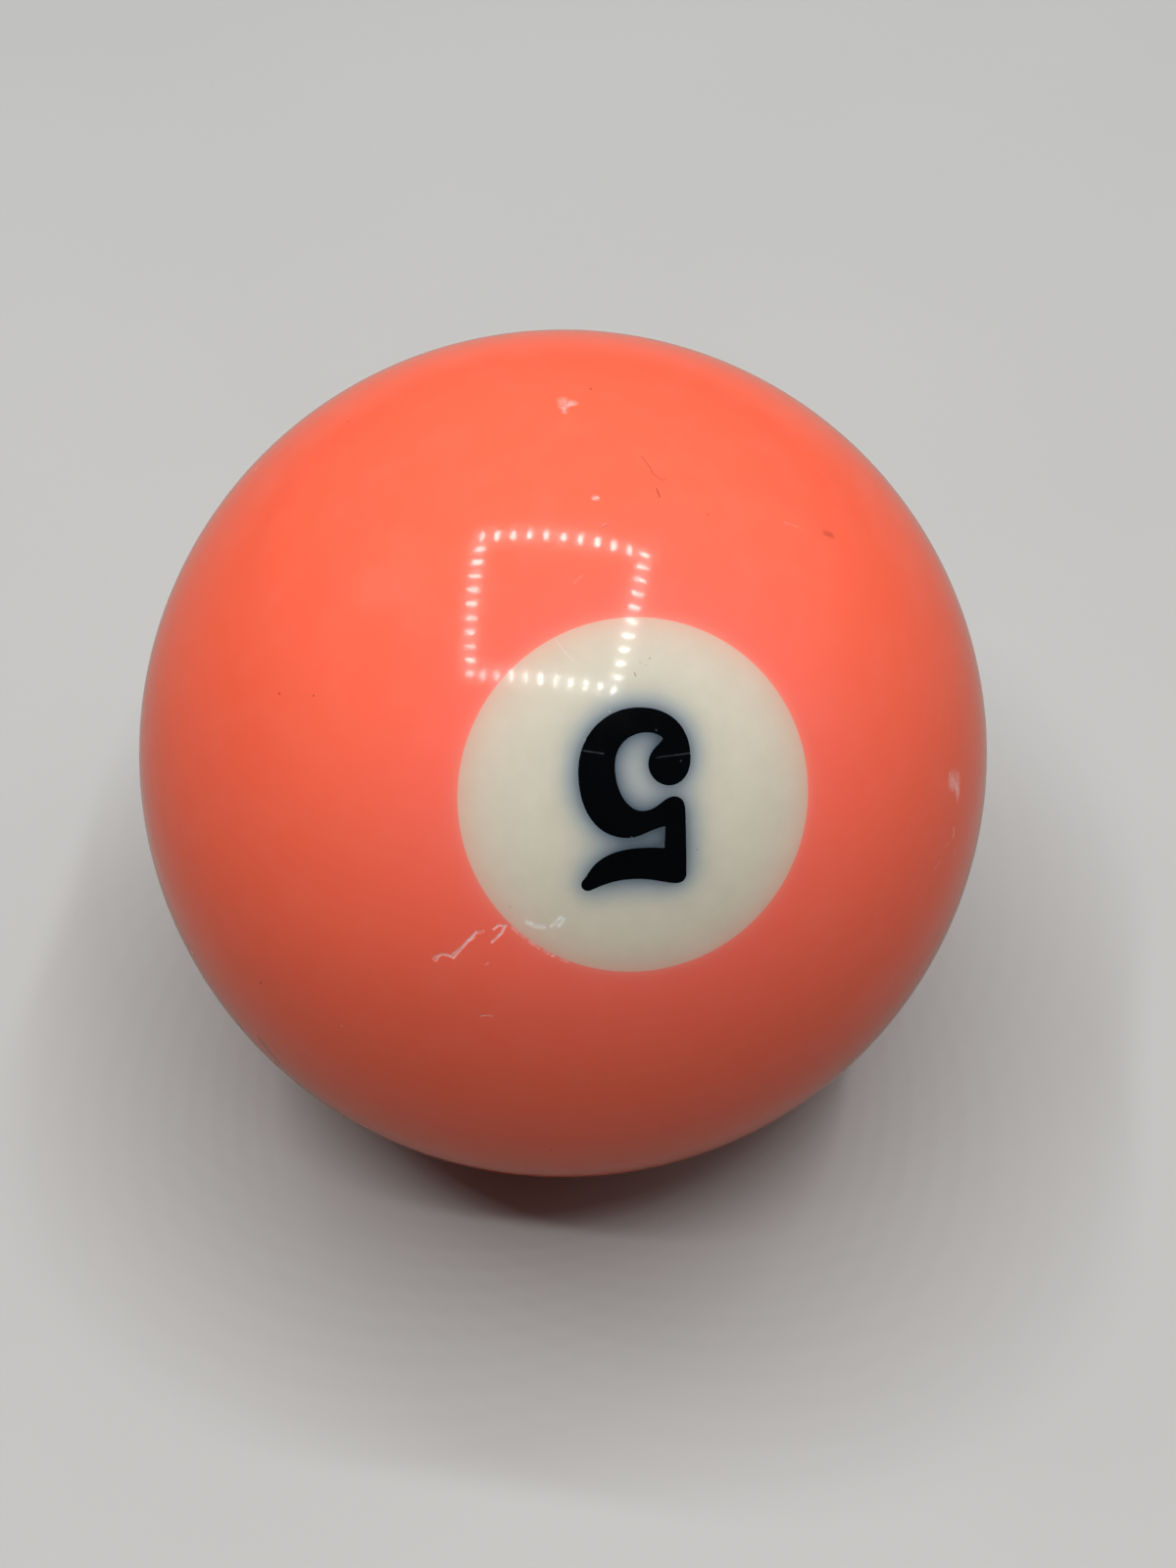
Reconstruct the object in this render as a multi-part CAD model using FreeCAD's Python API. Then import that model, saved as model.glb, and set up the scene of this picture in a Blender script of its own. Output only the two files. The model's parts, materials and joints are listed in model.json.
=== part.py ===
"""Numbered pool ball, solid colour: a cast resin ball with a filled core and two inlaid number spots.

Row frame: millimetres, +Z up, origin at the centre of the ball. The ball lies as it stopped rolling:
its number axis is in the YZ plane, raised from -Y towards +Z, and each figure is turned about that axis.

Every piece is first made in its own number frame: Z is the number axis, out through the front spot,
and Y is the way up of the front figure. place() then turns it to the way the ball lies.
"""
import FreeCAD, Part
import math
import os
from FreeCAD import Placement, Rotation, Vector

# The ball as a whole
BALL_D = 57.15           # 2 1/4 inch ball
AXIS_RAISE_DEG = 45.0    # number axis above the horizontal
FIGURE_TURN_DEG = 170.0  # turn of the figure about the number axis, from upright

# The coloured wall, cast round the core
WALL = 5.0

# The number spots, cast first as flat-backed discs
SPOT_D = 20.8            # ivory disc where it meets the surface of the ball
PLUG_FLARE = 0.6         # how much wider the disc is at its foot, on each side, so it can't pull out
SEAT_MARGIN = 0.4        # flat on the core beyond the foot of the disc, all round
PEG_D = 5.0              # short peg behind the disc, which centres it on the core
PEG_LEN = 2.0

# The figure, cast into a pocket of the disc
FIGURE_H = 10.69
FIGURE_DEPTH = 2.0       # from the crown of the spot to the floor of the pocket
FIGURE_LIFT = 0.07       # centre of the figure above the centre of the spot

OVERRUN = 1.0            # how far a cutter runs past the surface it cuts

# Values that follow from the ones above
ball_r = BALL_D / 2
core_r = ball_r - WALL
spot_r = SPOT_D / 2
foot_r = spot_r + PLUG_FLARE
seat_r = foot_r + SEAT_MARGIN
rim_z = math.sqrt(ball_r ** 2 - spot_r ** 2)   # rim of the spot on the surface of the ball
seat_z = math.sqrt(core_r ** 2 - seat_r ** 2)  # flat on the core, where the disc's foot is bonded
peg_r = PEG_D / 2
peg_end_z = seat_z - PEG_LEN
pocket_z = ball_r - FIGURE_DEPTH

# Outline of the figure 5 in thousandths of its height, with y = 0 midway up and x = 0 on the spot's
# centre. It starts at the top left and runs down the stem. One point is a straight run to that point;
# three are a cubic curve: the handle out of the last point, the handle into the next, and the next.
FIGURE_START = (-268, 401)
FIGURE_PATH = [
    # stem and its round foot
    [(-249, 54)],
    [(-245, 4), (-223, -21), (-185, -21)],
    # inside of the bowl, round to its pointed end
    [(-122, -21), (-98, 57), (-9, 57)],
    [(75, 57), (143, -58), (143, -189)],
    [(143, -296), (67, -366), (-33, -366)],
    [(-70, -366), (-101, -354), (-120, -334)],
    # ball at the end of the stroke
    [(-105, -308), (-82, -294), (-65, -272)],
    [(-49, -252), (-39, -226), (-39, -198)],
    [(-39, -134), (-92, -81), (-156, -81)],
    [(-225, -81), (-274, -142), (-274, -226)],
    # outside of the bowl
    [(-274, -396), (-168, -500), (9, -500)],
    [(196, -500), (340, -352), (340, -156)],
    [(340, 59), (234, 205), (70, 205)],
    [(-5, 205), (-70, 149), (-139, 143)],
    # flag: inner corner, underside, tip and hollow top
    [(-138, 261)],
    [(84, 246), (220, 288), (279, 410)],
    [(288, 429), (308, 441), (308, 464)],
    [(308, 490), (283, 506), (257, 497)],
    [(192, 466), (122, 432), (5, 432)],
    [(-89, 432), (-140, 454), (-206, 458)],
    [(-245, 460), (-271, 441), (-268, 401)],
]


def half_section(points):
    """Closed wire in the XZ half plane: straight runs, or an arc of the given radius about the origin."""
    edges = []
    for (x0, z0, _), (x1, z1, arc_r) in zip(points, points[1:] + points[:1]):
        start = Vector(x0, 0, z0)
        end = Vector(x1, 0, z1)
        if arc_r:
            middle = (start + end).normalize() * arc_r if z0 * z1 >= 0 else Vector(arc_r, 0, 0)
            edges.append(Part.Arc(start, middle, end).toShape())
        else:
            edges.append(Part.LineSegment(start, end).toShape())
    return Part.Wire(edges)


def turned(points):
    """Solid of revolution about the number axis. Each point is x, z and the radius of the arc into it."""
    face = Part.Face(half_section(points))
    solid = face.revolve(Vector(0, 0, 0), Vector(0, 0, 1), 360)
    return Part.Solid(solid.Shells[0])


def core_solid():
    """Filled core: a ball with two opposite flats, each with a blind hole for a disc's peg."""
    return turned([
        (0, peg_end_z, 0),
        (peg_r, peg_end_z, 0),
        (peg_r, seat_z, 0),
        (seat_r, seat_z, 0),
        (seat_r, -seat_z, core_r),
        (peg_r, -seat_z, 0),
        (peg_r, -peg_end_z, 0),
        (0, -peg_end_z, 0),
    ])


def shell_solid():
    """Coloured wall, cast round the core and both discs, with an undercut opening at each disc."""
    return turned([
        (spot_r, rim_z, 0),
        (spot_r, -rim_z, ball_r),
        (foot_r, -seat_z, 0),
        (seat_r, -seat_z, 0),
        (seat_r, seat_z, core_r),
        (foot_r, seat_z, 0),
    ])


def whole_ball():
    """The finished ball's surface, with its own poles and seam clear of the number axis."""
    ball = Part.makeSphere(ball_r)
    ball.Placement = Placement(Vector(0, 0, 0), Rotation(Vector(1, 0, 0), 90))
    return ball


def disc_blank():
    """Number disc as cast, before it is ground: flat foot with a peg, and a side that tapers outwards."""
    blank_z = ball_r + OVERRUN
    taper = PLUG_FLARE / (rim_z - seat_z)
    return turned([
        (0, peg_end_z, 0),
        (peg_r, peg_end_z, 0),
        (peg_r, seat_z, 0),
        (foot_r, seat_z, 0),
        (spot_r - (blank_z - rim_z) * taper, blank_z, 0),
        (0, blank_z, 0),
    ])


def figure_prism():
    """The figure's outline, from the pocket floor to past the surface of the ball."""
    unit = FIGURE_H / 1000

    def at(point):
        return Vector(point[0] * unit, point[1] * unit + FIGURE_LIFT, pocket_z)

    edges = []
    last = at(FIGURE_START)
    for step in FIGURE_PATH:
        poles = [last] + [at(point) for point in step]
        if len(poles) == 2:
            edges.append(Part.LineSegment(poles[0], poles[1]).toShape())
        else:
            curve = Part.BezierCurve()
            curve.setPoles(poles)
            edges.append(curve.toShape())
        last = poles[-1]
    height = FIGURE_DEPTH + OVERRUN
    return Part.Face(Part.Wire(edges)).extrude(Vector(0, 0, height))


def place(shape, end):
    """Turn a piece from the number frame to the way the ball lies: end 1 is the front, -1 the back."""
    face_back = Rotation(Vector(0, 1, 0), 0 if end == 1 else 180)
    turn = Rotation(Vector(0, 0, 1), FIGURE_TURN_DEG)
    tip = Rotation(Vector(1, 0, 0), 90 - AXIS_RAISE_DEG)
    placed = shape.copy()
    placed.Placement = Placement(Vector(0, 0, 0), tip * turn * face_back)
    return placed


def build():
    """Every piece of the ball by node name."""
    prism = figure_prism()
    figure = prism.common(whole_ball()).Solids[0]
    disc = disc_blank().common(whole_ball()).cut(prism).Solids[0]
    return {
        "filled_core": place(core_solid(), 1),
        "coloured_shell": place(shell_solid(), 1),
        "front_number_disc": place(disc, 1),
        "back_number_disc": place(disc, -1),
        "front_figure": place(figure, 1),
        "back_figure": place(figure, -1),
    }


os.makedirs("parts", exist_ok=True)
for name, solid in build().items():
    solid.exportStep(f"parts/{name}.step")
    print(name, solid.ShapeType, "valid", solid.isValid(), f"{solid.Volume:.1f} mm3")
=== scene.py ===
"""A numbered pool ball, cast in coloured resin round a filled core, with an inlaid number spot at each end.

It is made in the order of the real thing: core, number discs, figures, then the coloured shell cast round
them. Each piece has its own marks of play. Lengths are in metres unless a comment says otherwise.
"""
import json
import math

import bmesh
import bpy
import numpy as np
from mathutils import Matrix, Vector, geometry


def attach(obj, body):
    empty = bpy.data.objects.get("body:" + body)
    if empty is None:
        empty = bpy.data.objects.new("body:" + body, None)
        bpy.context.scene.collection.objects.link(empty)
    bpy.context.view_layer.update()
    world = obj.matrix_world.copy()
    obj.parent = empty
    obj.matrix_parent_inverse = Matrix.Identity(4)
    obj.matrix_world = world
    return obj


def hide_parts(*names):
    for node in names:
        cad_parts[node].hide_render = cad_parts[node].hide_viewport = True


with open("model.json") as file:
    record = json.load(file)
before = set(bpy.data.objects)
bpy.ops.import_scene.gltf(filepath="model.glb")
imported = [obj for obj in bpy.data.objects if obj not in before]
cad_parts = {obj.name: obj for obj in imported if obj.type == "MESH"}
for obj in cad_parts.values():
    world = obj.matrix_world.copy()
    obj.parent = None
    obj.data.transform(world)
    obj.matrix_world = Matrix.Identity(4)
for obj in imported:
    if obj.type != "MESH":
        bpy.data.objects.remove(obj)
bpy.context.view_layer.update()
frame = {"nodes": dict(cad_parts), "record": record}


# ---------------------------------------------------------------------------------------------------------
# The filled core. A ball of resin loaded with mineral powder, which gives the finished ball its weight. It is
# cast first, with two flats and two blind holes that seat the number discs, and is then sealed in for good.
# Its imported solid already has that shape, so it stays, and only gets its chalky, speckled resin.

def feed(tree, node, inputs):
    """Give a node's inputs a constant, or the socket that feeds them."""
    for key, value in inputs.items():
        if isinstance(value, bpy.types.NodeSocket):
            tree.links.new(value, node.inputs[key])
        else:
            node.inputs[key].default_value = value


def add(tree, kind, inputs=None, **settings):
    """Add a node of that kind with its settings and inputs."""
    node = tree.nodes.new(kind)
    for name, value in settings.items():
        setattr(node, name, value)
    feed(tree, node, inputs or {})
    return node


def new_finish(name):
    """A node material: the material, its node tree and its shader."""
    material = bpy.data.materials.new(name)
    material.use_nodes = True
    return material, material.node_tree, material.node_tree.nodes["Principled BSDF"]


def cloud(tree, size, detail=2.0, seed=0.0):
    """Soft random pattern from 0 to 1 in the piece's own space, with features about that size."""
    where = add(tree, "ShaderNodeTexCoord").outputs["Object"]
    noise = add(tree, "ShaderNodeTexNoise", {
        "Vector": where,
        "W": seed,
        "Scale": 1 / size,
        "Detail": detail,
    }, noise_dimensions="4D")
    return noise.outputs["Fac"]


def spread(tree, value, low, high, to_low=0.0, to_high=1.0):
    """Stretch a value's range from low..high to another, and stop at its ends."""
    node = add(tree, "ShaderNodeMapRange", {
        "Value": value,
        "From Min": low,
        "From Max": high,
        "To Min": to_low,
        "To Max": to_high,
    })
    return node.outputs["Result"]


def mixed(tree, share, first, second, mode="MIX"):
    """Colour between first and second, or first changed by second in that mode."""
    node = add(tree, "ShaderNodeMix", {0: share, 6: first, 7: second}, data_type="RGBA", blend_type=mode)
    return node.outputs[2]


def sums(tree, operation, first, second=0.0):
    """One step of arithmetic on two values."""
    return add(tree, "ShaderNodeMath", {0: first, 1: second}, operation=operation).outputs[0]


GREY_CHALK = (0.50, 0.46, 0.40, 1)
PALE_CHALK = (0.62, 0.58, 0.52, 1)
MINERAL_SPECK = (0.30, 0.27, 0.23, 1)

core_resin, tree, shader = new_finish("core_resin")
speck = spread(tree, cloud(tree, 0.0006, 3.0), 0.56, 0.66)
chalk = mixed(tree, cloud(tree, 0.006), GREY_CHALK, PALE_CHALK)
feed(tree, shader, {
    "Base Color": mixed(tree, speck, chalk, MINERAL_SPECK),
    "Roughness": spread(tree, cloud(tree, 0.002), 0.3, 0.7, 0.55, 0.8),
})
core = frame["nodes"]["filled_core"]
core.data.materials.clear()
core.data.materials.append(core_resin)


# ---------------------------------------------------------------------------------------------------------
# The number discs. Two discs of ivory resin are cast with the pocket of a figure in the crown, a flared side
# that keys them into the shell, a flat foot and a short peg that sits in the core. Their crowns are ground
# together with the ball, so they are patches of its surface. Beside the black figure the ivory is painted
# with shade, greyer and bluer, for light that the black takes from inside the translucent ivory; near the rim
# it is painted pinker, for coral light carried in.

BALL_R = -frame["record"]["mounts"][0]["pos_m"][2]
AXIS_RAISE = math.radians(45)     # number axis above the horizontal
FIGURE_TURN = math.radians(170)   # turn of the figure about the number axis, from upright
WALL = 0.005
SPOT_R = 0.0104
PLUG_FLARE = 0.0006
SEAT_MARGIN = 0.0004
PEG_R = 0.0025
PEG_LEN = 0.002
FIGURE_H = 0.01069
FIGURE_DEPTH = 0.002
FIGURE_LIFT = 0.00007
SEGMENTS = 288                    # round the ball, and so round each spot's rim

foot_r = SPOT_R + PLUG_FLARE
seat_r = foot_r + SEAT_MARGIN
seat_z = math.sqrt((BALL_R - WALL) ** 2 - seat_r ** 2)
pocket_z = BALL_R - FIGURE_DEPTH

# The figure 5 in thousandths of its height, y = 0 midway up and x = 0 on the spot's centre, from the top left
# down the stem. One point is a straight run; three are a cubic curve: two handles, then the point it ends on.
FIGURE_START = (-268, 401)
FIGURE_PATH = [
    # stem and its round foot
    [(-249, 54)],
    [(-245, 4), (-223, -21), (-185, -21)],
    # inside of the bowl, round to its pointed end
    [(-122, -21), (-98, 57), (-9, 57)],
    [(75, 57), (143, -58), (143, -189)],
    [(143, -296), (67, -366), (-33, -366)],
    [(-70, -366), (-101, -354), (-120, -334)],
    # ball at the end of the stroke
    [(-105, -308), (-82, -294), (-65, -272)],
    [(-49, -252), (-39, -226), (-39, -198)],
    [(-39, -134), (-92, -81), (-156, -81)],
    [(-225, -81), (-274, -142), (-274, -226)],
    # outside of the bowl
    [(-274, -396), (-168, -500), (9, -500)],
    [(196, -500), (340, -352), (340, -156)],
    [(340, 59), (234, 205), (70, 205)],
    [(-5, 205), (-70, 149), (-139, 143)],
    # flag: inner corner, underside, tip and hollow top
    [(-138, 261)],
    [(84, 246), (220, 288), (279, 410)],
    [(288, 429), (308, 441), (308, 464)],
    [(308, 490), (283, 506), (257, 497)],
    [(192, 466), (122, 432), (5, 432)],
    [(-89, 432), (-140, 454), (-206, 458)],
    [(-245, 460), (-271, 441), (-268, 401)],
]
OUTLINE_STEP = 0.0001
RIM_CLEAR = 0.00015               # no points this near the rim but its own
COARSE_STEP = 0.0004              # between points of the open crown
FINE_STEP = 0.00015               # between points near the figure
FINE_BAND = 0.0013                # how far from the figure the fine points go
EDGE_CLEAR = 0.00006              # no fine points this near the figure's edge
DOT_EDGE_CLEAR = 0.00004          # and no points of a mark this near
DOT_STEP = 0.00005                # the least between points of a mark
MARK_HALO = 1.5                   # how far a mark's points reach, in its widths
SHADE_FADE = 0.0005               # how fast the dark round the figure dies away
SHADE_STEP = 0.0001               # between the samples of black that cast it
ON_SURFACE = 1e-6
NEAR_SURFACE = 0.0001             # as much below the surface still counts as on it, as a chord's middle is
EDGE_ANGLE = math.radians(30)     # a sharper edge than this shades as one
FACES_OUT = 0.98                  # cosine of the most that a face of the ground surface leans


def number_frame(end):
    """Turns a piece made with Z out of its spot and Y up its figure to the way the ball lies."""
    tip = Matrix.Rotation(math.pi / 2 - AXIS_RAISE, 4, "X")
    turn = Matrix.Rotation(FIGURE_TURN, 4, "Z")
    flip = Matrix.Rotation(math.pi if end == "back" else 0.0, 4, "Y")
    return tip @ turn @ flip


def figure_outline():
    """Points along the edge of the figure, as an array of x and y."""
    unit = FIGURE_H / 1000
    points = []
    last = np.array(FIGURE_START, float)
    for step in FIGURE_PATH:
        poles = np.array([last] + [np.array(p, float) for p in step])
        length = np.linalg.norm(np.diff(poles, axis=0), axis=1).sum() * unit
        t = np.linspace(0, 1, max(2, round(length / OUTLINE_STEP)), endpoint=False)[:, None]
        if len(poles) == 2:
            points.append(poles[0] * (1 - t) + poles[1] * t)
        else:
            a, b, c, d = poles
            points.append(a * (1 - t) ** 3 + 3 * b * t * (1 - t) ** 2 + 3 * c * t ** 2 * (1 - t) + d * t ** 3)
        last = poles[-1]
    return np.vstack(points) * unit + np.array([0, FIGURE_LIFT])


def inside(points, outline):
    """Which points lie inside a closed outline."""
    hits = np.zeros(len(points), bool)
    for (x0, y0), (x1, y1) in zip(outline, np.roll(outline, -1, axis=0)):
        crosses = (points[:, 1] < y0) != (points[:, 1] < y1)
        if y0 != y1:
            hits ^= crosses & (points[:, 0] < x0 + (points[:, 1] - y0) * (x1 - x0) / (y1 - y0))
    return hits


def even_points(reach, step):
    """A triangular grid of flat points within that reach of the centre."""
    rows = np.arange(-2 * math.ceil(reach / step), 2 * math.ceil(reach / step) + 1)
    across, up = np.meshgrid(rows, rows)
    grid = np.column_stack([(across + up / 2).ravel() * step, (up * math.sqrt(3) / 2).ravel() * step])
    return grid[np.hypot(grid[:, 0], grid[:, 1]) < reach]


def to_ball(flat):
    """Flat points over the spot, lifted to the surface of the ball."""
    return np.column_stack([flat, np.sqrt(BALL_R ** 2 - (flat ** 2).sum(axis=1))])


def path_gap(points, path):
    """Distance from each point to a path of straight runs, or to a single point."""
    gap = np.full(len(points), 1.0)
    runs = list(zip(path[:-1], path[1:])) or [(path[0], path[0])]
    for a, b in runs:
        run = b - a
        share = np.clip((points - a) @ run / max(run @ run, 1e-18), 0, 1)
        gap = np.minimum(gap, np.linalg.norm(points - a - share[:, None] * run, axis=1))
    return gap


def mark(width, tone, depth, *points):
    """A knock or scratch on the front half, in mm; its tone is how white it is, or how dark below 0."""
    path = to_ball(np.array(points, float) / 1000)
    return {"width": width / 1000, "tone": tone, "depth": depth / 1000, "path": path}


def wear_at(points, marks):
    """How white, how dark and how deep the marks make the ball at each point."""
    white = np.zeros(len(points))
    dark = np.zeros(len(points))
    deep = np.zeros(len(points))
    for m in marks:
        share = np.clip(1 - path_gap(points, m["path"]) / m["width"], 0, 1)
        share = share * share * (3 - 2 * share)
        white = np.maximum(white, share * max(m["tone"], 0))
        dark = np.maximum(dark, share * max(-m["tone"], 0))
        deep = np.maximum(deep, share * m["depth"])
    return white, dark, deep


def carve(points, marks):
    """The points pushed towards the middle of the ball where a mark goes deep."""
    deep = wear_at(points, marks)[2]
    return points * (1 - deep / np.linalg.norm(points, axis=1))[:, None]


def dot_grid(marks):
    """Flat points close enough together to draw each mark."""
    found = []
    for m in marks:
        centre = m["path"][:, :2].mean(axis=0)
        reach = np.linalg.norm(m["path"][:, :2] - centre, axis=1).max() + 2 * m["width"]
        grid = even_points(reach, max(DOT_STEP, m["width"] / 4)) + centre
        found.append(grid[path_gap(to_ball(grid), m["path"]) < MARK_HALO * m["width"]])
    return np.vstack(found)


def marked(flat, marks):
    """Which flat points lie where a mark has points of its own."""
    lifted = to_ball(flat)
    return np.min([path_gap(lifted, m["path"]) - MARK_HALO * m["width"] for m in marks], axis=0) < 0


def spot_skin(marks):
    """The crown of a spot as flat points and triangles, cut along the figure's edge and the rim."""
    angles = np.arange(SEGMENTS) * 2 * math.pi / SEGMENTS
    rim = np.column_stack([np.cos(angles), np.sin(angles)]) * SPOT_R
    outline = figure_outline()
    loop = np.vstack([outline, outline[:1]])
    inner = SPOT_R - RIM_CLEAR
    coarse = even_points(inner, COARSE_STEP)
    fine = even_points(inner, FINE_STEP)
    dots = dot_grid(marks)
    dots = dots[np.hypot(dots[:, 0], dots[:, 1]) < inner]
    fine_gap = path_gap(fine, loop)
    near_figure = (fine_gap <= FINE_BAND) & (fine_gap > EDGE_CLEAR)
    points = np.vstack([
        outline,
        rim,
        coarse[(path_gap(coarse, loop) > FINE_BAND) & ~marked(coarse, marks)],
        fine[near_figure & ~marked(fine, marks)],
        dots[path_gap(dots, loop) > DOT_EDGE_CLEAR],
    ])
    n = len(outline)
    edges = [(i, (i + 1) % n) for i in range(n)]
    edges += [(n + i, n + (i + 1) % SEGMENTS) for i in range(SEGMENTS)]
    flat = [Vector(p * 1000) for p in points]
    made = geometry.delaunay_2d_cdt(flat, edges, [], 0, 1e-6, False)
    return np.array([v[:] for v in made[0]]) / 1000, np.array(made[2]), outline


def painted_figure_shade_share(points, outline):
    """Black resin near each point of the ivory, for its painted shade: 0 far off, 0.5 at a straight edge."""
    reach = np.linalg.norm(outline, axis=1).max()
    black = even_points(reach, SHADE_STEP)
    black = black[inside(black, outline)]
    batch = 500
    shade = np.zeros(len(points))
    for start in range(0, len(points), batch):
        part = points[start:start + batch]
        gaps = np.linalg.norm(part[:, None, :] - black[None, :, :], axis=2)
        shade[start:start + batch] = np.exp(-gaps / SHADE_FADE).sum(axis=1)
    cell = SHADE_STEP ** 2 * math.sqrt(3) / 2
    return shade * cell / (2 * math.pi * SHADE_FADE ** 2)


def ring(radius, z):
    """A circle of points about the number axis."""
    angles = np.arange(SEGMENTS) * 2 * math.pi / SEGMENTS
    return np.column_stack([np.cos(angles) * radius, np.sin(angles) * radius, np.full(SEGMENTS, z)])


def finished(name, mesh, material, turn, values):
    """A piece at its place in the ball, smooth but for its edges; its ground face shades as a ball's."""
    for key, amounts in values.items():
        mesh.attributes.new(key, "FLOAT", "POINT").data.foreach_set("value", amounts.astype(np.float32))
    mesh.transform(turn)
    mesh.shade_smooth()
    mesh.set_sharp_from_angle(angle=EDGE_ANGLE)
    out = np.zeros((len(mesh.vertices), 3))
    for i, vert in enumerate(mesh.vertices):
        if abs(vert.co.length - BALL_R) < ON_SURFACE:
            out[i] = vert.co.normalized()
    corner_normals = np.zeros((len(mesh.loops), 3))
    for face in mesh.polygons:
        if face.normal.dot(face.center.normalized()) > FACES_OUT:
            for corner in face.loop_indices:
                corner_normals[corner] = out[mesh.loops[corner].vertex_index]
    mesh.normals_split_custom_set([tuple(n) for n in corner_normals])
    mesh.materials.clear()
    mesh.materials.append(material)
    piece = bpy.data.objects.new(name, mesh)
    bpy.context.collection.objects.link(piece)
    return piece


def closed_mesh(name, verts, faces):
    """A mesh of the points the faces use, and which of the points those were."""
    used = sorted({i for f in faces for i in f})
    new_number = {old: new for new, old in enumerate(used)}
    mesh = bpy.data.meshes.new(name)
    mesh.from_pydata(verts[used].tolist(), [], [[new_number[i] for i in f] for f in faces])
    body = bmesh.new()
    body.from_mesh(mesh)
    bmesh.ops.recalc_face_normals(body, faces=body.faces)
    body.to_mesh(mesh)
    body.free()
    return mesh, np.array(used)


def random_mark(rng, middle, width, tone, depth, length):
    """A mark that wanders from that point of the ball in a random direction."""
    middle = np.array(middle) / np.linalg.norm(middle)
    aside = np.cross(middle, rng.normal(size=3))
    aside /= np.linalg.norm(aside)
    bend = np.cross(middle, aside) * rng.uniform(-0.15, 0.15)
    run = 0.4
    steps = np.linspace(-0.5, 0.5, max(1, round(length / run)))[:, None] * length / 1000
    path = middle * BALL_R + aside * steps + bend * steps ** 2 / max(length / 1000, 1e-9)
    path = path / np.linalg.norm(path, axis=1)[:, None] * BALL_R
    return {"width": width / 1000, "tone": tone, "depth": depth / 1000, "path": path}


# Marks on the front spot, in mm from its centre with the figure upright: smudged white knocks near the rim, a
# thin line across the crown, and specks of cloth dirt.
FRONT_SPOT_MARKS = [
    mark(0.26, 0.80, 0.010, (6.25, 7.33), (5.87, 7.58), (5.36, 7.63)),
    mark(0.10, 0.90, 0.012, (6.05, 7.30), (5.80, 7.62)),
    mark(0.15, 1.00, 0.012, (4.92, 7.56), (4.39, 7.01), (4.16, 7.13), (4.47, 7.56)),
    mark(0.35, 0.35, 0.004, (4.75, 7.50), (4.30, 7.15)),
    mark(0.07, 0.40, 0.004, (4.83, -9.10), (4.32, -8.39), (3.84, -7.90)),
    mark(0.09, -0.75, 0.005, (-0.60, -8.05)),
    mark(0.07, -0.60, 0.005, (-0.02, -7.82)),
    mark(0.07, -0.60, 0.005, (-0.36, -7.66)),
    mark(0.07, -0.80, 0.005, (0.25, -7.05), (0.32, -7.22)),
    mark(0.08, -0.60, 0.005, (7.30, 6.45)),
    mark(0.08, -0.70, 0.005, (-3.45, 3.00)),
    mark(0.06, 0.80, 0.005, (1.82, -5.03)),
    # on the figure
    mark(0.055, 0.24, 0.005, (2.20, -2.62), (3.35, -2.78)),
    mark(0.06, 0.16, 0.004, (-2.95, -2.65), (-0.90, -2.40)),
    mark(0.09, 0.30, 0.008, (0.50, 2.20)),
    mark(0.10, 0.25, 0.008, (3.27, -3.40)),
    mark(0.08, 0.30, 0.005, (-2.35, -2.20)),
    mark(0.08, 0.35, 0.005, (-0.90, -3.98)),
]
# Marks on the back spot lie about these places, in mm from the middle of the ball with Z out of the spot.
BACK_SPOT_PLACES = (
    (3.2, 6.9, 27),
    (-6.8, 2.1, 27),
    (5.9, -5.5, 27),
    (-1.2, -7.7, 27),
    (0.8, -1.4, 28),
    (-5.5, -5.0, 27),
)
back_rng = np.random.default_rng(11)
BACK_SPOT_MARKS = []
for place in BACK_SPOT_PLACES:
    width = back_rng.uniform(0.07, 0.14)
    tone = back_rng.choice([-0.7, 0.6, 0.7])
    BACK_SPOT_MARKS.append(random_mark(back_rng, place, width, tone, 0.008, back_rng.uniform(0.0, 1.6)))

COOL_IVORY = (0.540, 0.513, 0.415, 1)
WARM_IVORY = (0.608, 0.558, 0.440, 1)
MILKY_IVORY = (0.66, 0.61, 0.50, 1)
# painted light: coral light carried into the ivory at the rim
PAINTED_RIM_GLOW = (0.80, 0.19, 0.13, 1)
IVORY_BRUISE = (0.80, 0.82, 0.80, 1)
IVORY_DIRT = (0.16, 0.08, 0.05, 1)
# painted shade on the ivory's colour, by how much of the black figure is near
NO_PAINTED_SHADE = (1, 1, 1, 1)
PAINTED_SHADE_STEPS = (
    (0.12, (0.67, 0.74, 0.84, 1)),
    (0.22, (0.50, 0.59, 0.74, 1)),
    (0.33, (0.35, 0.43, 0.57, 1)),
    (0.50, (0.18, 0.25, 0.38, 1)),
)
FULL_PAINTED_SHADE_AT = 0.62
FULL_PAINTED_SHADE = (0.10, 0.14, 0.21, 1)

ivory_resin, tree, shader = new_finish("ivory_resin")
clean_ivory = mixed(tree, cloud(tree, 0.007, 3.0, 2.0), COOL_IVORY, WARM_IVORY)
milkiness = spread(tree, cloud(tree, 0.0011, 3.0, 5.0), 0.35, 0.7, 0.0, 0.35)
cloudy_ivory = mixed(tree, milkiness, clean_ivory, MILKY_IVORY)
painted_figure_shade = add(tree, "ShaderNodeAttribute", attribute_name="painted_figure_shade").outputs["Fac"]
painted_shade_ramp = add(tree, "ShaderNodeValToRGB", {"Fac": painted_figure_shade})
ramp = painted_shade_ramp.color_ramp
ramp.elements[0].position = 0.0
ramp.elements[0].color = NO_PAINTED_SHADE
ramp.elements[1].position = FULL_PAINTED_SHADE_AT
ramp.elements[1].color = FULL_PAINTED_SHADE
for amount, tint in PAINTED_SHADE_STEPS:
    ramp.elements.new(amount).color = tint
shaded_ivory = mixed(tree, 1.0, cloudy_ivory, painted_shade_ramp.outputs["Color"], "MULTIPLY")


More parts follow.
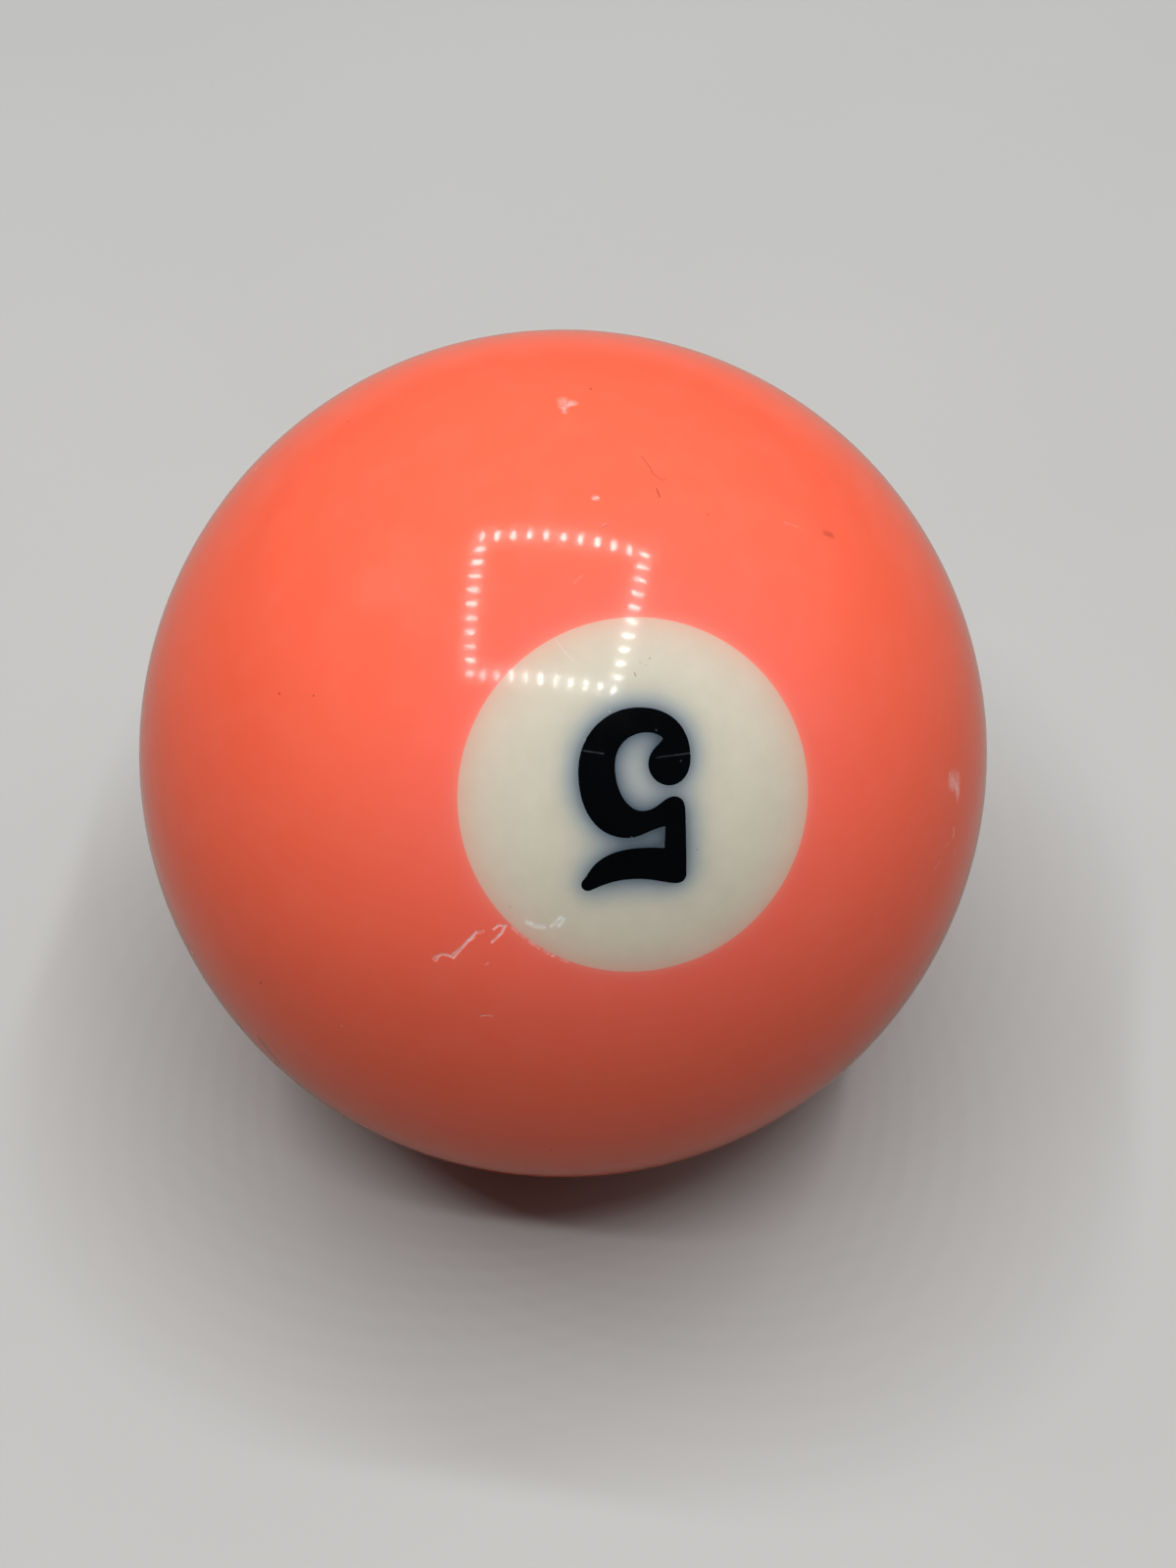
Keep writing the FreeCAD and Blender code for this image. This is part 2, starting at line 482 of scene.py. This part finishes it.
def off_axis(tree):
    """Distance from the number axis, for tints that go round the spots."""
    where = add(tree, "ShaderNodeTexCoord").outputs["Object"]
    way = (0.0, -math.cos(AXIS_RAISE), math.sin(AXIS_RAISE))
    across = add(tree, "ShaderNodeVectorMath", {0: where, 1: way}, operation="CROSS_PRODUCT")
    length = add(tree, "ShaderNodeVectorMath", {0: across.outputs["Vector"]}, operation="LENGTH")
    return length.outputs["Value"]


def fading(tree, distance, fade, most):
    """A share that starts at most and dies away over that distance."""
    power = sums(tree, "DIVIDE", distance, -fade)
    return sums(tree, "MULTIPLY", sums(tree, "EXPONENT", power), most)


def worn(tree, clean, white, dark):
    """That colour whitened and darkened where the piece is marked, with ragged edges."""
    fine = spread(tree, cloud(tree, 0.00012, 2.0, 7.0), 0.3, 0.6, 0.4, 1.0)
    grain = sums(tree, "MULTIPLY", fine, spread(tree, cloud(tree, 0.00045, 2.0, 15.0), 0.35, 0.6, 0.4, 1.0))
    white_here = add(tree, "ShaderNodeAttribute", attribute_name="whitened").outputs["Fac"]
    dark_here = add(tree, "ShaderNodeAttribute", attribute_name="dirtied").outputs["Fac"]
    bruised = mixed(tree, sums(tree, "MULTIPLY", white_here, grain), clean, white)
    return mixed(tree, dark_here, bruised, dark)


GRAIN_SIZE = 0.00020              # across one ripple of the polish
GRAIN_DEPTH = 0.0000011           # and how deep it is
GLOW_PATCH = 0.0009               # across a patch of one polish
BEST_POLISH = 0.10
WORST_POLISH = 0.16


def played_polish(tree, shader):
    """A polish dulled by play: a crisp but grainy mirror image with a soft glow round it."""
    dull = spread(tree, cloud(tree, 0.008, 2.0, 12.0), 0.38, 0.62, 0.4, 1.0)
    grain = add(tree, "ShaderNodeBump", {
        "Strength": dull,
        "Distance": GRAIN_DEPTH,
        "Height": cloud(tree, GRAIN_SIZE, 2.0, 3.0),
    }).outputs["Normal"]
    glow = cloud(tree, GLOW_PATCH, 3.0, 13.0)
    feed(tree, shader, {
        "Roughness": spread(tree, glow, 0.3, 0.7, BEST_POLISH, WORST_POLISH),
        "Specular IOR Level": 0.09,
        "Normal": grain,
        "Coat Weight": 0.085,
        "Coat Roughness": 0.04,
        "Coat Normal": grain,
    })


# Painted light: the ivory is pinker towards the rim, as coral light carried in through the translucent resin.
to_rim = sums(tree, "SUBTRACT", SPOT_R, off_axis(tree))
painted_rim_glow = fading(tree, to_rim, 0.0009, 0.42)
ivory_with_rim_glow = mixed(tree, painted_rim_glow, shaded_ivory, PAINTED_RIM_GLOW)
feed(tree, shader, {
    "Base Color": worn(tree, ivory_with_rim_glow, IVORY_BRUISE, IVORY_DIRT),
})
played_polish(tree, shader)

skins = {}
for end, marks in (("front", FRONT_SPOT_MARKS), ("back", BACK_SPOT_MARKS)):
    flat, triangles, outline = spot_skin(marks)
    in_figure = inside(flat[triangles].mean(axis=1), outline)
    skins[end] = flat, triangles, outline, in_figure
    n = len(outline)
    crown = carve(to_ball(flat), marks)
    pocket = np.column_stack([flat, np.full(len(flat), pocket_z)])
    rings = [ring(foot_r, seat_z), ring(PEG_R, seat_z), ring(PEG_R, seat_z - PEG_LEN)]
    verts = np.vstack([crown, pocket] + rings)
    faces = triangles[~in_figure].tolist()
    faces += (triangles[in_figure] + len(flat)).tolist()
    for i in range(n):
        j = (i + 1) % n
        faces.append([i, j, len(flat) + j, len(flat) + i])
    starts = [n, 2 * len(flat), 2 * len(flat) + SEGMENTS, 2 * len(flat) + 2 * SEGMENTS]
    for upper, lower in zip(starts[:-1], starts[1:]):
        for k in range(SEGMENTS):
            m = (k + 1) % SEGMENTS
            faces.append([upper + k, upper + m, lower + m, lower + k])
    faces.append([starts[-1] + k for k in range(SEGMENTS)])
    mesh, used = closed_mesh(f"{end}_ivory_disc", verts, faces)
    white, dark, _ = wear_at(verts, marks)
    shade = np.zeros(len(verts))
    shade[:len(flat)] = painted_figure_shade_share(flat, outline)
    disc = finished(f"{end}_ivory_disc", mesh, ivory_resin, number_frame(end), {
        "whitened": white[used],
        "dirtied": dark[used],
        "painted_figure_shade": shade[used],
    })
    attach(disc, "root")
    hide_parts(f"{end}_number_disc")


# ---------------------------------------------------------------------------------------------------------
# The figures. Black resin is poured into the pocket of each disc and ground off with its crown, so the 5
# is a solid two millimetres deep and lies flush. It takes the same polish, and shows hairlines more.

DEEP_BLACK = (0.0006, 0.0010, 0.0012, 1)
SMOKE_BLACK = (0.0015, 0.0022, 0.0032, 1)
BLACK_BRUISE = (0.24, 0.27, 0.32, 1)
BLACK_DIRT = (0.02, 0.02, 0.02, 1)

black_resin, tree, shader = new_finish("black_resin")
smoky = mixed(tree, cloud(tree, 0.002, 2.0, 4.0), DEEP_BLACK, SMOKE_BLACK)
feed(tree, shader, {
    "Base Color": worn(tree, smoky, BLACK_BRUISE, BLACK_DIRT),
})
played_polish(tree, shader)
for end, marks in (("front", FRONT_SPOT_MARKS), ("back", BACK_SPOT_MARKS)):
    flat, triangles, outline, in_figure = skins[end]
    n = len(outline)
    verts = np.vstack([carve(to_ball(flat), marks), np.column_stack([flat, np.full(len(flat), pocket_z)])])
    faces = triangles[in_figure].tolist()
    faces += (triangles[in_figure][:, ::-1] + len(flat)).tolist()
    for i in range(n):
        j = (i + 1) % n
        faces.append([j, i, len(flat) + i, len(flat) + j])
    mesh, used = closed_mesh(f"{end}_black_five", verts, faces)
    white, dark, _ = wear_at(verts, marks)
    five = finished(f"{end}_black_five", mesh, black_resin, number_frame(end), {
        "whitened": white[used],
        "dirtied": dark[used],
    })
    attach(five, "root")
    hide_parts(f"{end}_figure")


# ---------------------------------------------------------------------------------------------------------
# The coloured shell. Orange resin is cast round the core and the keyed discs, then the whole ball is
# ground and polished. It is one turned wall with a flared hole at each spot. Play has left pale chips and
# scratches in it, dark specks of dirt, and a fine haze that softens what it mirrors.

OUTER_STEPS = 124                 # along the outside, from spot to spot
INNER_STEPS = 40                  # along the inside
REFINE_LEVELS = 4                 # times that the mesh is halved under a fine mark
CELL = 0.0006                     # a face of the outside before that
RIM_KEPT = 0.00005                # no mark is carved this near the rim, so that it meets the disc's
FACES_ACROSS = 3                  # the fewest faces that draw the width of a mark
MARKS_IN_ALL = 76
KNOCKS_FROM = 0.2                 # height on the number axis, in ball radii, where random knocks start
KNOCKS_TO = -0.90                 # and end


def turned_shell():
    """Node group that draws the shell's section and turns it about the number axis."""
    group = bpy.data.node_groups.new("turned_shell", "GeometryNodeTree")
    sizes = ("Ball Radius", "Wall", "Spot Radius", "Plug Flare", "Seat Margin")
    for name in sizes:
        group.interface.new_socket(name, in_out="INPUT", socket_type="NodeSocketFloat")
    for name in ("Round Steps", "Outer Steps", "Inner Steps"):
        group.interface.new_socket(name, in_out="INPUT", socket_type="NodeSocketInt")
    group.interface.new_socket("Resin", in_out="INPUT", socket_type="NodeSocketMaterial")
    group.interface.new_socket("Geometry", in_out="OUTPUT", socket_type="NodeSocketGeometry")
    given = group.nodes.new("NodeGroupInput").outputs
    ball = given["Ball Radius"]
    spot = given["Spot Radius"]
    core_radius = sums(group, "SUBTRACT", ball, given["Wall"])
    foot = sums(group, "ADD", spot, given["Plug Flare"])
    seat = sums(group, "ADD", foot, given["Seat Margin"])

    def height(ball_radius, off_centre):
        """How high above the middle a ball of that radius is, that far off its axis."""
        whole_square = sums(group, "POWER", ball_radius, 2.0)
        part_square = sums(group, "POWER", off_centre, 2.0)
        return sums(group, "SQRT", sums(group, "SUBTRACT", whole_square, part_square))

    def meridian(ball_radius, off_centre, steps):
        """The arc of a ball's section between its two spots."""
        half = sums(group, "ARCCOSINE", sums(group, "DIVIDE", off_centre, ball_radius))
        return add(group, "GeometryNodeCurveArc", {
            "Resolution": sums(group, "ADD", steps, 1.0),
            "Radius": ball_radius,
            "Start Angle": sums(group, "MULTIPLY", half, -1.0),
            "Sweep Angle": sums(group, "MULTIPLY", half, 2.0),
        }, mode="RADIUS").outputs["Curve"]

    def straight(x0, y0, x1, y1):
        """A straight run of the section."""
        start = add(group, "ShaderNodeCombineXYZ", {"X": x0, "Y": y0}).outputs["Vector"]
        end = add(group, "ShaderNodeCombineXYZ", {"X": x1, "Y": y1}).outputs["Vector"]
        return add(group, "GeometryNodeCurvePrimitiveLine", {"Start": start, "End": end}).outputs["Curve"]

    rim_height = height(ball, spot)
    seat_height = height(core_radius, seat)
    section = [meridian(ball, spot, given["Outer Steps"]), meridian(core_radius, seat, given["Inner Steps"])]
    for side in (1.0, -1.0):
        rim_y = sums(group, "MULTIPLY", rim_height, side)
        seat_y = sums(group, "MULTIPLY", seat_height, side)
        section.append(straight(spot, rim_y, foot, seat_y))
        section.append(straight(foot, seat_y, seat, seat_y))
    circle = add(group, "GeometryNodeCurvePrimitiveCircle", {
        "Resolution": given["Round Steps"],
        "Radius": foot,
    }, mode="RADIUS").outputs["Curve"]
    inwards = add(group, "ShaderNodeCombineXYZ", {"X": sums(group, "MULTIPLY", foot, -1.0)}).outputs["Vector"]
    whole = group.nodes.new("GeometryNodeJoinGeometry")
    for curve in section:
        moved = add(group, "GeometryNodeTransform", {"Geometry": curve, "Translation": inwards})
        strip = add(group, "GeometryNodeCurveToMesh", {
            "Curve": circle,
            "Profile Curve": moved.outputs["Geometry"],
        })
        group.links.new(strip.outputs["Mesh"], whole.inputs["Geometry"])
    merged = add(group, "GeometryNodeMergeByDistance", {
        "Geometry": whole.outputs["Geometry"],
        "Distance": ON_SURFACE,
    })
    real = add(group, "GeometryNodeRealizeInstances", {"Geometry": merged.outputs["Geometry"]})
    set_resin = add(group, "GeometryNodeSetMaterial", {
        "Geometry": real.outputs["Geometry"],
        "Material": given["Resin"],
    })
    feed(group, group.nodes.new("NodeGroupOutput"), {"Geometry": set_resin.outputs["Geometry"]})
    return group


def made_by(group, values):
    """The plain mesh that a node group makes with those inputs."""
    maker = bpy.data.objects.new("maker", bpy.data.meshes.new("maker"))
    bpy.context.collection.objects.link(maker)
    modifier = maker.modifiers.new("maker", "NODES")
    modifier.node_group = group
    for item in group.interface.items_tree:
        if item.in_out == "INPUT":
            modifier[item.identifier] = values[item.name]
    mesh = bpy.data.meshes.new_from_object(maker.evaluated_get(bpy.context.evaluated_depsgraph_get()))
    maker.modifiers.remove(modifier)
    bpy.data.objects.remove(maker)
    return mesh


def on_ball(vert):
    """Whether a corner lies on the ground surface of the ball."""
    return vert.co.length > BALL_R - ON_SURFACE


def refine(body, marks):
    """Halves the edges of the ball's surface near each mark until they can draw it."""
    for level in range(REFINE_LEVELS):
        cell = CELL / 2 ** level
        body.faces.ensure_lookup_table()
        centres = np.array([f.calc_center_median()[:] for f in body.faces])
        outside = np.linalg.norm(centres, axis=1) > BALL_R - 2 * NEAR_SURFACE
        near = np.zeros(len(centres), bool)
        for m in marks:
            if m["width"] < FACES_ACROSS * cell:
                near[outside] |= path_gap(centres[outside], m["path"]) < m["width"] + cell
        chosen = [body.faces[i] for i in np.flatnonzero(near)]
        edges = {e for f in chosen for e in f.edges if all(on_ball(v) for v in e.verts)}
        bmesh.ops.subdivide_edges(body, edges=list(edges), cuts=1, use_grid_fill=True)
        hole_sides = [f for f in body.faces if 0 < sum(on_ball(v) for v in f.verts) < len(f.verts)]
        split_faces = [f for f in body.faces if len(f.verts) > 4]
        bmesh.ops.triangulate(body, faces=list(set(hole_sides + split_faces)))
        for vert in body.verts:
            if vert.co.length > BALL_R - NEAR_SURFACE:
                vert.co = vert.co.normalized() * BALL_R


# Marks on the front half of the shell, in mm from the spot's centre seen straight on with the figure upright.
SHELL_MARKS = [
    # a bent scratch and its hooked ends, then a second one up to the rim
    mark(0.15, 1.00, 0.020, (11.30, 9.80), (10.95, 9.55), (10.58, 9.63), (10.32, 9.74)),
    mark(0.15, 1.00, 0.025, (10.32, 9.74), (9.58, 8.66), (9.12, 8.10)),
    mark(0.10, 0.80, 0.015, (10.40, 9.55), (9.70, 8.85), (9.20, 8.40)),
    mark(0.14, 0.75, 0.020, (11.45, 9.87), (11.30, 10.00), (11.18, 9.85), (11.35, 9.70), (11.45, 9.87)),
    mark(0.20, 0.55, 0.015, (9.12, 8.05), (8.90, 8.10)),
    mark(0.16, 0.70, 0.015, (8.72, 7.98)),
    mark(0.15, 1.00, 0.022, (8.20, 8.63), (7.68, 8.07), (7.50, 7.60)),
    mark(0.13, 0.90, 0.012, (8.14, 7.85), (7.90, 7.60), (7.68, 7.62)),
    mark(0.13, 0.60, 0.010, (8.45, 10.07), (8.35, 9.98)),
    # rubbed edge of the spot
    mark(0.16, 0.50, 0.003, (7.10, 7.72), (6.75, 8.02)),
    mark(0.14, 0.35, 0.003, (6.62, 8.12), (6.30, 8.38)),
    mark(0.20, 0.60, 0.003, (6.05, 8.56), (5.78, 8.74)),
    mark(0.14, 0.80, 0.004, (5.62, 8.86), (5.50, 8.96)),
    mark(0.18, 0.50, 0.003, (5.22, 9.10), (4.92, 9.27)),
    mark(0.12, 0.75, 0.004, (4.74, 9.40), (4.62, 9.42)),
    mark(0.15, 0.40, 0.003, (4.20, 9.62), (3.80, 9.78)),
    # chips with pale crushed floors
    mark(0.50, 0.55, 0.050, (2.98, -23.25), (2.98, -22.80)),
    mark(0.60, 0.50, 0.040, (2.90, -22.95), (2.70, -23.05)),
    mark(0.42, 0.65, 0.050, (2.80, -22.95), (2.35, -23.05)),
    mark(0.28, 0.65, 0.050, (3.00, -22.80), (3.02, -22.45)),
    mark(0.08, -0.80, 0.010, (1.08, -24.05), (1.10, -23.92)),
    mark(0.25, 1.00, 0.045, (2.00, -17.26), (1.84, -17.26)),
    # scuff and its fine trail
    mark(0.90, 0.75, 0.020, (-21.75, -0.05), (-22.20, 0.10)),
    mark(0.60, 0.80, 0.025, (-22.20, 0.30), (-22.35, 0.75)),
    mark(0.16, 0.75, 0.015, (-21.45, -0.50), (-21.60, 0.10)),
    mark(0.14, 0.80, 0.015, (-22.35, -0.45), (-22.30, 0.15)),
    mark(0.15, 0.75, 0.015, (-22.50, 0.65), (-22.38, 1.35)),
    mark(0.12, 0.70, 0.010, (-21.90, 0.20), (-21.80, 0.60)),
    mark(0.09, 0.75, 0.010, (-22.16, 3.05), (-22.27, 3.45), (-22.15, 3.72)),
    mark(0.07, 0.45, 0.010, (-21.88, 3.96), (-21.46, 4.21)),
    mark(0.08, 0.65, 0.010, (-22.55, 4.46), (-22.63, 4.86)),
    mark(0.08, 0.40, 0.010, (-21.02, 5.10), (-20.52, 5.52)),
    # short pale lines
    mark(0.07, 0.55, 0.008, (8.55, 13.48), (8.15, 13.38), (7.82, 13.43)),
    mark(0.10, 0.70, 0.008, (16.31, 15.06)),
    mark(0.06, 0.30, 0.005, (-9.83, -15.99), (-11.14, -15.59)),
    mark(0.07, 0.22, 0.005, (3.60, -12.30), (3.10, -12.75)),
    mark(0.30, 0.60, 0.030, (21.10, -18.90)),
    # dark hairlines and specks of dirt
    mark(0.055, -0.60, 0.006, (-1.20, -19.79), (-1.66, -19.08), (-1.70, -18.79)),
    mark(0.055, -0.60, 0.006, (-1.70, -18.79), (-2.22, -18.39), (-2.44, -18.41)),
    mark(0.065, -0.85, 0.010, (-1.84, -17.88), (-1.96, -17.39)),
    mark(0.07, -0.80, 0.010, (1.67, -15.56), (1.42, -15.73)),
    mark(0.12, -0.80, 0.010, (20.29, -5.37)),
    mark(0.10, -0.80, 0.010, (18.37, -5.39)),
    mark(0.11, -0.55, 0.008, (-4.82, -16.39)),
    mark(0.12, -0.60, 0.010, (15.58, -21.89)),
    mark(0.14, -0.80, 0.010, (21.10, 13.01)),
    mark(0.12, -0.80, 0.010, (2.95, 23.59)),
    mark(0.07, -0.60, 0.005, (8.57, 5.47)),
    mark(0.40, -0.35, 0.000, (-12.70, -15.35), (-13.10, -15.25)),
    mark(0.45, -0.55, 0.010, (20.87, 17.77), (20.20, 18.75), (19.55, 19.63)),
]
# Random knocks on the back half and a little way round to the front, clear of the back spot.
side_rng = np.random.default_rng(5)
while len(SHELL_MARKS) < MARKS_IN_ALL:
    place = side_rng.normal(size=3)
    place /= np.linalg.norm(place)
    if place[2] > KNOCKS_FROM or place[2] < KNOCKS_TO:
        continue
    kind = side_rng.choice(["speck", "line", "chip"], p=[0.45, 0.4, 0.15])
    if kind == "speck":
        width = side_rng.uniform(0.08, 0.14)
        found = random_mark(side_rng, place, width, -0.8, 0.010, 0.3)
    elif kind == "line":
        tone = side_rng.uniform(0.4, 0.9)
        length = side_rng.uniform(0.8, 3.5)
        found = random_mark(side_rng, place, 0.09, tone, 0.015, length)
    else:
        width = side_rng.uniform(0.2, 0.4)
        found = random_mark(side_rng, place, width, 0.9, 0.045, 0.6)
    SHELL_MARKS.append(found)

DEEP_CORAL = (0.90, 0.116, 0.055, 1)
BRIGHT_CORAL = (0.95, 0.138, 0.068, 1)
CORAL_HAZE = (0.93, 0.22, 0.16, 1)
THIN_OVER_IVORY = (0.62, 0.52, 0.42, 1)
SPOT_GLOW_CORAL = (0.93, 0.165, 0.15, 1)
CORAL_BRUISE = (0.92, 0.60, 0.58, 1)
CORAL_DIRT = (0.13, 0.02, 0.015, 1)

coral_resin, tree, shader = new_finish("coral_resin")
from_rim = sums(tree, "SUBTRACT", off_axis(tree), SPOT_R)
coral = mixed(tree, cloud(tree, 0.014, 3.0, 8.0), DEEP_CORAL, BRIGHT_CORAL)
haze = spread(tree, cloud(tree, 0.0025, 4.0, 9.0), 0.45, 0.75, 0.0, 0.12)
hazy_coral = mixed(tree, haze, coral, CORAL_HAZE)
# Painted light round the spot: pale where the coral is thin over the ivory flare, and a wide pink glow.
coral_with_thin_edge_light = mixed(tree, fading(tree, from_rim, 0.0003, 0.30), hazy_coral, THIN_OVER_IVORY)
coral_with_spot_glow = mixed(tree, fading(tree, from_rim, 0.0060, 0.42), coral_with_thin_edge_light, SPOT_GLOW_CORAL)
feed(tree, shader, {
    "Base Color": worn(tree, coral_with_spot_glow, CORAL_BRUISE, CORAL_DIRT),
})
played_polish(tree, shader)

shell_mesh = made_by(turned_shell(), {
    "Ball Radius": BALL_R,
    "Wall": WALL,
    "Spot Radius": SPOT_R,
    "Plug Flare": PLUG_FLARE,
    "Seat Margin": SEAT_MARGIN,
    "Round Steps": SEGMENTS,
    "Outer Steps": OUTER_STEPS,
    "Inner Steps": INNER_STEPS,
    "Resin": coral_resin,
})
body = bmesh.new()
body.from_mesh(shell_mesh)
refine(body, SHELL_MARKS)
bmesh.ops.recalc_face_normals(body, faces=body.faces)
body.to_mesh(shell_mesh)
body.free()
spots = np.array([v.co[:] for v in shell_mesh.vertices])
on_top = np.linalg.norm(spots, axis=1) > BALL_R - NEAR_SURFACE
clear_of_rim = np.hypot(spots[:, 0], spots[:, 1]) > SPOT_R + RIM_KEPT
white, dark, _ = wear_at(spots, SHELL_MARKS)
sunk = spots.copy()
sunk[on_top & clear_of_rim] = carve(spots[on_top & clear_of_rim], SHELL_MARKS)
shell_mesh.vertices.foreach_set("co", sunk.ravel())
shell_mesh.update()
shell = finished("coral_shell", shell_mesh, coral_resin, number_frame("front"), {
    "whitened": white,
    "dirtied": dark,
})
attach(shell, "root")
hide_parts("coloured_shell")


# ---------------------------------------------------------------------------------------------------------
# The stage. A pale matt table top, a square of small lamps straight overhead that the ball mirrors as a
# dotted line, a broad soft light above them, a soft window behind on the left, a weak one on the right, and
# pale air all round.

LAMP_HEIGHT = 0.60                # over the middle of the ball
LAMP_SQUARE = 0.69 * LAMP_HEIGHT
LAMP_TURN = math.radians(-21.4)
LAMPS_PER_SIDE = 11
LAMP_POWER = 0.135
LAMP_WIDE = 0.010                 # along the side of the square
LAMP_LONG = 0.030                 # across it
PANEL_CENTRE = LAMP_HEIGHT * Vector((-0.056, -0.02, 1.0))
TOP_WIDE = 8
TOP_GREY = (0.43, 0.43, 0.42, 1)
TOP_WHITE = (0.46, 0.46, 0.45, 1)
TOP_BOUNCE = (0.26, 0.28, 0.26, 1)  # what the ball gets back from it: darker than the eye sees, as painted shade for its underside
AIR = (0.98, 0.99, 1.0, 1)
AIR_SEEN = 0.50
AIR_LIGHT = 0.04
FAR_FROM = 0.20                   # where the table top starts to fade into the air
FAR_TO = 0.90
FAR_GLOW = 0.44
OVERHEAD_AT = (-0.05, 0.25, 1.4)
OVERHEAD_SIZE = 2.4
OVERHEAD_POWER = 1.2
FILL_AT = (0.80, 0.05, 0.85)
FILL_SIZE = 1.2
FILL_POWER = 2.2
WINDOW_AT = (-0.70, 0.42, 0.88)
WINDOW_WIDE = 0.30
WINDOW_LONG = 0.50
WINDOW_POWER = 0.30               # of each of its layers
WINDOW_LAYERS = 5

bpy.ops.mesh.primitive_plane_add(size=TOP_WIDE, location=(0, 0, -BALL_R))
floor = bpy.context.object
floor.name = "table_top"
pale_top, tree, shader = new_finish("pale_top")
floor_place = add(tree, "ShaderNodeTexCoord").outputs["Object"]
far = add(tree, "ShaderNodeVectorMath", {0: floor_place}, operation="LENGTH").outputs["Value"]
seen = add(tree, "ShaderNodeLightPath").outputs["Is Camera Ray"]
pale = mixed(tree, cloud(tree, 0.05, 4.0), TOP_GREY, TOP_WHITE)
# a painted glow on the far table top, seen by the eye alone, that fades it into the air
fade = spread(tree, far, FAR_FROM, FAR_TO, 0.0, FAR_GLOW)
feed(tree, shader, {
    # the eye sees the pale top; bounced light sees a darker one, painted shade for the ball's underside
    "Base Color": mixed(tree, seen, TOP_BOUNCE, pale),
    "Roughness": 0.8,
    "Emission Color": AIR,
    "Emission Strength": sums(tree, "MULTIPLY", seen, fade),
})
floor.data.materials.append(pale_top)

world = bpy.data.worlds.new("pale_air")
bpy.context.scene.world = world
world.use_nodes = True
seen = add(world.node_tree, "ShaderNodeLightPath").outputs["Is Camera Ray"]
feed(world.node_tree, world.node_tree.nodes["Background"], {
    "Color": AIR,
    "Strength": spread(world.node_tree, seen, 0.0, 1.0, AIR_LIGHT, AIR_SEEN),
})


def lamp(name, at, wide, long, power):
    """A flat rectangular light at a point, facing the middle of the ball."""
    data = bpy.data.lights.new(name, "AREA")
    data.shape = "RECTANGLE"
    data.size = wide
    data.size_y = long
    data.energy = power
    light = bpy.data.objects.new(name, data)
    light.location = at
    light.rotation_euler = (-Vector(at)).to_track_quat("-Z", "Y").to_euler()
    bpy.context.collection.objects.link(light)
    return light


for side in range(4):
    turn = Matrix.Rotation(LAMP_TURN + side * math.pi / 2, 3, "Z")
    for k in range(LAMPS_PER_SIDE - 1):
        along = (k / (LAMPS_PER_SIDE - 1) - 0.5) * LAMP_SQUARE
        place = PANEL_CENTRE + turn @ Vector((along, LAMP_SQUARE / 2, 0))
        dot = lamp(f"panel_lamp_{side}_{k}", place, LAMP_WIDE, LAMP_LONG, LAMP_POWER)
        dot.rotation_euler = (0, 0, LAMP_TURN + side * math.pi / 2)

lamp("broad_overhead", OVERHEAD_AT, OVERHEAD_SIZE, OVERHEAD_SIZE, OVERHEAD_POWER)
lamp("right_fill", FILL_AT, FILL_SIZE, FILL_SIZE, FILL_POWER)
# one soft-edged light, of layers that lie one inside the next
for k in range(WINDOW_LAYERS):
    share = 0.55 + 0.18 * k
    lamp(f"soft_window_{k}", WINDOW_AT, WINDOW_WIDE * share, WINDOW_LONG * share, WINDOW_POWER)

# the eye: 180 mm from the ball's centre, 51 degrees above it and a little to the left
EYE_DISTANCE = 0.180
EYE_RAISE = math.radians(51.09)
EYE_TURN = math.radians(-12.82)
EYE_SENSOR = 36
EYE_LENS = 60.54
EYE_SHIFT = (0.0159375, -0.0195)
camera_data = bpy.data.cameras.new("eye")
camera_data.sensor_width = EYE_SENSOR
camera_data.lens = EYE_LENS
camera_data.shift_x, camera_data.shift_y = EYE_SHIFT
camera_data.clip_start = 0.01
camera = bpy.data.objects.new("eye", camera_data)
camera.location = EYE_DISTANCE * Vector((
    math.sin(EYE_TURN) * math.cos(EYE_RAISE),
    -math.cos(EYE_TURN) * math.cos(EYE_RAISE),
    math.sin(EYE_RAISE),
))
camera.rotation_euler = (math.pi / 2 - EYE_RAISE, 0, EYE_TURN)
bpy.context.collection.objects.link(camera)
bpy.context.scene.camera = camera
bpy.context.scene.view_settings.view_transform = "Standard"
